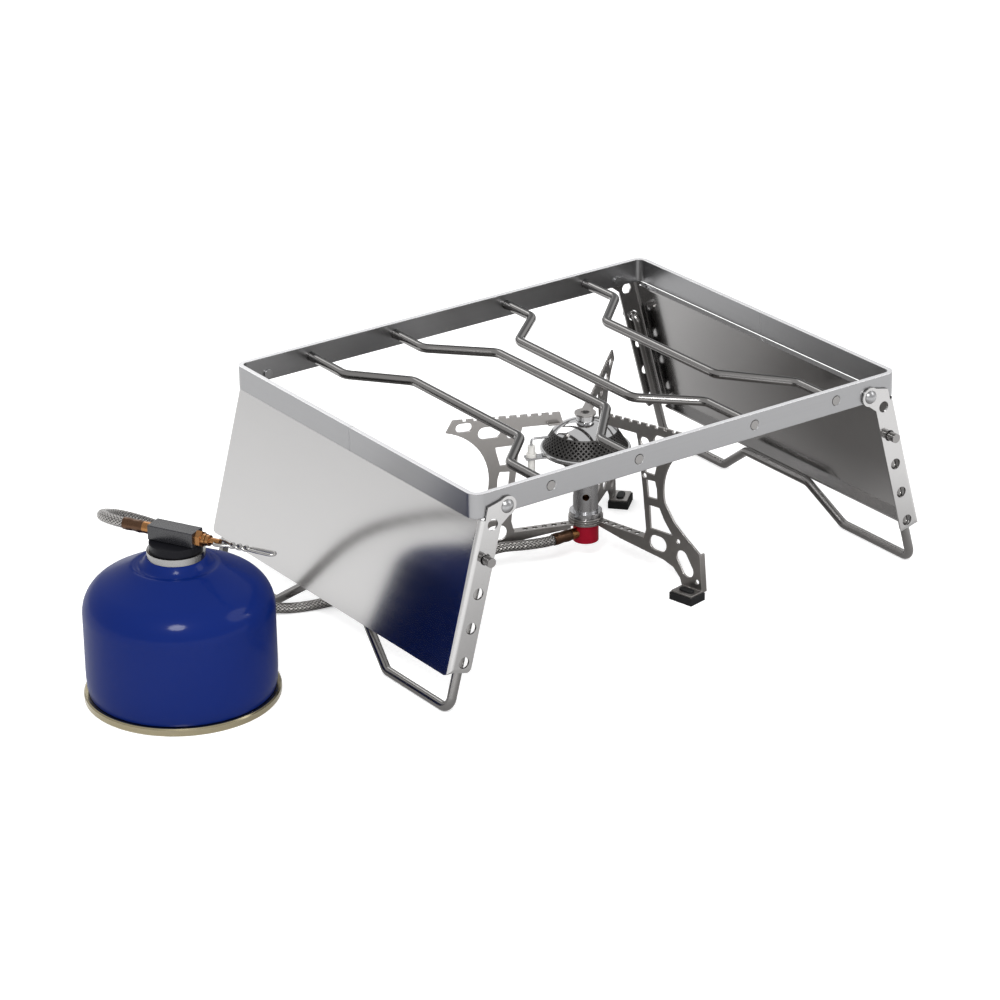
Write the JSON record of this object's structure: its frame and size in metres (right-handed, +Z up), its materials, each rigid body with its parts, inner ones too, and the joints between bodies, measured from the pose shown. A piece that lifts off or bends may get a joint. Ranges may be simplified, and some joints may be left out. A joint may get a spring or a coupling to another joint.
{
  "type": "portable gas barbecue grill",
  "caption": "Folding steel grill stand with bent rods over a three-legged gas burner, fed through a braided hose from a squat canister with a needle valve.",
  "frame": {"origin": "on the floor, under the middle of the whole set's bounding box", "axes": "+X along the stand's long side from the canister to the stand, +Y to the back, +Z up"},
  "size_m": [0.4952, 0.26, 0.127],
  "materials": {
    "frame_steel": "brushed along its length",
    "rod_steel": "drawn wire, bright",
    "panel_steel": "cold-rolled, fine upright brushing",
    "rivet_steel": "polished",
    "red_inlet": "anodised, satin",
    "brass": "turned",
    "column_steel": "turned",
    "dark_steel": "heat-darkened, matt",
    "polished_steel": "polished",
    "leg_steel": "stamped sheet",
    "rubber": "matt",
    "ceramic": "glazed ceramic",
    "brown_sleeve": "crimped",
    "braid": "woven wire braid",
    "blue_paint": "gloss enamel",
    "gold_tin": "lacquered tinplate",
    "collar_tin": "tinplate",
    "black_plastic": "satin black",
    "handle_wire": "bright wire"
  },
  "bodies": {
    "stove": {"inlet_body": "red_inlet", "gas_jet": "brass", "burner_column": "column_steel", "column_collar": "column_steel", "spring_clip": "column_steel", "mixing_cup": "dark_steel", "trim_ring": "polished_steel", "flame_skirt": "dark_steel", "dome_cap": "polished_steel", "back_burner_leg": "leg_steel", "back_foot_pad": "rubber", "igniter_bracket": "column_steel", "igniter_ceramic": "ceramic", "igniter_electrode": "column_steel", "burner_nipple": "brass", "burner_sleeve": "brown_sleeve", "gas_hose": "braid", "canister_body": "blue_paint", "canister_base": "gold_tin", "canister_valve_cup": "collar_tin", "canister_inner_valve": "column_steel", "valve_seal": "rubber", "valve_base": "black_plastic", "valve_block": "black_plastic", "gland_nut": "brass", "valve_nipple": "brass", "valve_sleeve": "brown_sleeve"},
    "stand": {"frame_front_half": "frame_steel", "frame_back_half": "frame_steel", "grill_rod_1": "rod_steel", "grill_rod_2": "rod_steel", "grill_rod_3": "rod_steel", "grill_rod_4": "rod_steel", "left_pivot_rivets": "rivet_steel", "right_pivot_rivets": "rivet_steel"},
    "left_side": {"left_panel": "panel_steel"},
    "right_side": {"right_panel": "panel_steel"},
    "left_leg": {"left_wire_leg": "rod_steel"},
    "right_leg": {"right_wire_leg": "rod_steel"},
    "left_burner_support": {"left_burner_leg": "leg_steel", "left_foot_pad": "rubber"},
    "right_burner_support": {"right_burner_leg": "leg_steel", "right_foot_pad": "rubber"},
    "spindle": {"valve_spindle": "brass"},
    "handle": {"wire_handle": "handle_wire"}
  },
  "joints": [
    {"name": "stand_lift", "type": "slide", "parent": "stove", "child": "stand", "axis": [0, 0, 1], "range_m": [0, 0.22]},
    {"name": "left_fold", "type": "hinge", "parent": "stand", "child": "left_side", "pos_m": [-0.05136, 0, 0.1164], "axis": [0, -1, 0], "range_deg": [0, 95]},
    {"name": "right_fold", "type": "hinge", "parent": "stand", "child": "right_side", "pos_m": [0.20624, 0, 0.1164], "axis": [0, 1, 0], "range_deg": [0, 95]},
    {"name": "left_leg_swing", "type": "hinge", "parent": "left_side", "child": "left_leg", "pos_m": [-0.06655, 0, 0.0887], "axis": [0, -1, 0], "range_deg": [0, 8]},
    {"name": "right_leg_swing", "type": "hinge", "parent": "right_side", "child": "right_leg", "pos_m": [0.22143, 0, 0.0887], "axis": [0, 1, 0], "range_deg": [0, 8]},
    {"name": "left_burner_leg_swivel", "type": "hinge", "parent": "stove", "child": "left_burner_support", "pos_m": [0.09344, 0.001, 0.0252], "axis": [0, 0, -1], "range_deg": [0, 90]},
    {"name": "right_burner_leg_swivel", "type": "hinge", "parent": "stove", "child": "right_burner_support", "pos_m": [0.09344, 0.001, 0.0267], "axis": [0, 0, 1], "range_deg": [0, 85]},
    {"name": "spindle_turn", "type": "hinge", "parent": "stove", "child": "spindle", "pos_m": [-0.19256, -0.008, 0.09698], "axis": [0.454, -0.891, 0], "range_deg": [0, 720]},
    {"name": "handle_flip", "type": "hinge", "parent": "spindle", "child": "handle", "pos_m": [-0.18064, -0.03139, 0.09698], "axis": [-0.891, -0.454, 0], "range_deg": [0, 90]}
  ],
  "couplings": [
    {"joint": "left_fold", "follows": "stand_lift", "rad_per_m": 7.5},
    {"joint": "right_fold", "follows": "stand_lift", "rad_per_m": 7.5}
  ]
}
